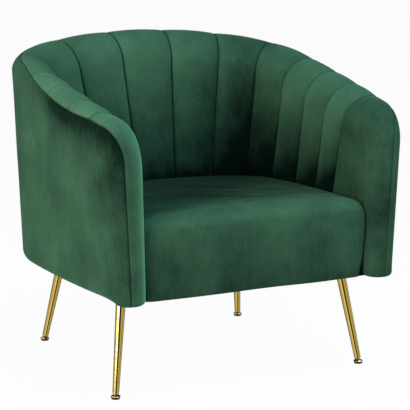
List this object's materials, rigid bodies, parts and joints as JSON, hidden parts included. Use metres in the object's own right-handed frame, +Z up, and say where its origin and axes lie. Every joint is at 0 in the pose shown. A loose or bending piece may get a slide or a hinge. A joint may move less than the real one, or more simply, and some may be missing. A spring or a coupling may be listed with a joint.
{
  "type": "velvet tub armchair",
  "caption": "Barrel-shaped velvet armchair with a channelled inner back and arms, a tight crowned seat and splayed brass tube legs on levelling glides.",
  "frame": {"origin": "on the floor, below the middle of the chair's bounding box", "axes": "+X to the right as seen from the front, +Y towards the back, +Z up"},
  "size_m": [0.752, 0.6956, 0.737],
  "materials": {
    "velvet": "emerald cut velvet over wadding",
    "brass_plate": "polished yellow plating",
    "black_plastic": "moulded",
    "zinc_steel": "zinc plated",
    "plywood": "bare birch plywood",
    "fibreboard": "bare hardboard",
    "foam": "open-cell foam",
    "felt": "needled felt",
    "webbing": "elastic webbing",
    "dust_cloth": "non-woven cloth"
  },
  "bodies": {
    "chair": {"arm_front_left": "velvet", "arm_front_right": "velvet", "arm_post_left": "plywood", "arm_post_right": "plywood", "arm_rail_left": "plywood", "arm_rail_right": "plywood", "back_channel_middle": "velvet", "back_post_left": "plywood", "back_post_right": "plywood", "back_rail": "plywood", "base_board": "plywood", "channel_left_1": "velvet", "channel_left_2": "velvet", "channel_left_3": "velvet", "channel_left_4": "velvet", "channel_left_5": "velvet", "channel_left_6": "velvet", "channel_right_1": "velvet", "channel_right_2": "velvet", "channel_right_3": "velvet", "channel_right_4": "velvet", "channel_right_5": "velvet", "channel_right_6": "velvet", "corner_post_left": "plywood", "corner_post_right": "plywood", "dust_cover": "dust_cloth", "front_post_left": "plywood", "front_post_right": "plywood", "inner_panel": "fibreboard", "leg_bolts": "zinc_steel", "leg_front_left": "brass_plate", "leg_front_right": "brass_plate", "leg_plates": "zinc_steel", "leg_plugs": "zinc_steel", "leg_rear_left": "brass_plate", "leg_rear_right": "brass_plate", "outer_cover": "velvet", "seat_cover": "velvet", "seat_felt": "felt", "seat_foam": "foam", "seat_rail_front": "plywood", "seat_rail_left": "plywood", "seat_rail_rear": "plywood", "seat_rail_right": "plywood", "seat_webbing_cross": "webbing", "seat_webbing_long": "webbing", "tack_panel": "fibreboard", "tee_nuts": "zinc_steel"},
    "glide_stud_front_left": {"glide_stud_front_left": "zinc_steel"},
    "glide_foot_front_left": {"glide_cap_front_left": "brass_plate", "glide_pad_front_left": "black_plastic"},
    "glide_stud_front_right": {"glide_stud_front_right": "zinc_steel"},
    "glide_foot_front_right": {"glide_cap_front_right": "brass_plate", "glide_pad_front_right": "black_plastic"},
    "glide_stud_rear_left": {"glide_stud_rear_left": "zinc_steel"},
    "glide_foot_rear_left": {"glide_cap_rear_left": "brass_plate", "glide_pad_rear_left": "black_plastic"},
    "glide_stud_rear_right": {"glide_stud_rear_right": "zinc_steel"},
    "glide_foot_rear_right": {"glide_cap_rear_right": "brass_plate", "glide_pad_rear_right": "black_plastic"}
  },
  "joints": [
    {"name": "front_left_levelling", "type": "slide", "parent": "chair", "child": "glide_stud_front_left", "axis": [-0.1453, -0.1677, -0.9751], "range_m": [0, 0.01]},
    {"name": "front_left_foot_tilt", "type": "hinge", "parent": "glide_stud_front_left", "child": "glide_foot_front_left", "pos_m": [-0.30497, -0.23899, 0.006], "axis": [-0.7558, 0.6548, 0], "range_deg": [-5.2, 30.8]},
    {"name": "front_right_levelling", "type": "slide", "parent": "chair", "child": "glide_stud_front_right", "axis": [0.1453, -0.1677, -0.9751], "range_m": [0, 0.01]},
    {"name": "front_right_foot_tilt", "type": "hinge", "parent": "glide_stud_front_right", "child": "glide_foot_front_right", "pos_m": [0.30497, -0.23899, 0.006], "axis": [-0.7558, -0.6548, 0], "range_deg": [-5.2, 30.8]},
    {"name": "rear_left_levelling", "type": "slide", "parent": "chair", "child": "glide_stud_rear_left", "axis": [-0.141, 0.2173, -0.9659], "range_m": [0, 0.01]},
    {"name": "rear_left_foot_tilt", "type": "hinge", "parent": "glide_stud_rear_left", "child": "glide_foot_rear_left", "pos_m": [-0.26398, 0.27404, 0.006], "axis": [0.8389, 0.5443, 0], "range_deg": [-3, 33]},
    {"name": "rear_right_levelling", "type": "slide", "parent": "chair", "child": "glide_stud_rear_right", "axis": [0.141, 0.2173, -0.9659], "range_m": [0, 0.01]},
    {"name": "rear_right_foot_tilt", "type": "hinge", "parent": "glide_stud_rear_right", "child": "glide_foot_rear_right", "pos_m": [0.26398, 0.27404, 0.006], "axis": [0.8389, -0.5443, 0], "range_deg": [-3, 33]}
  ]
}
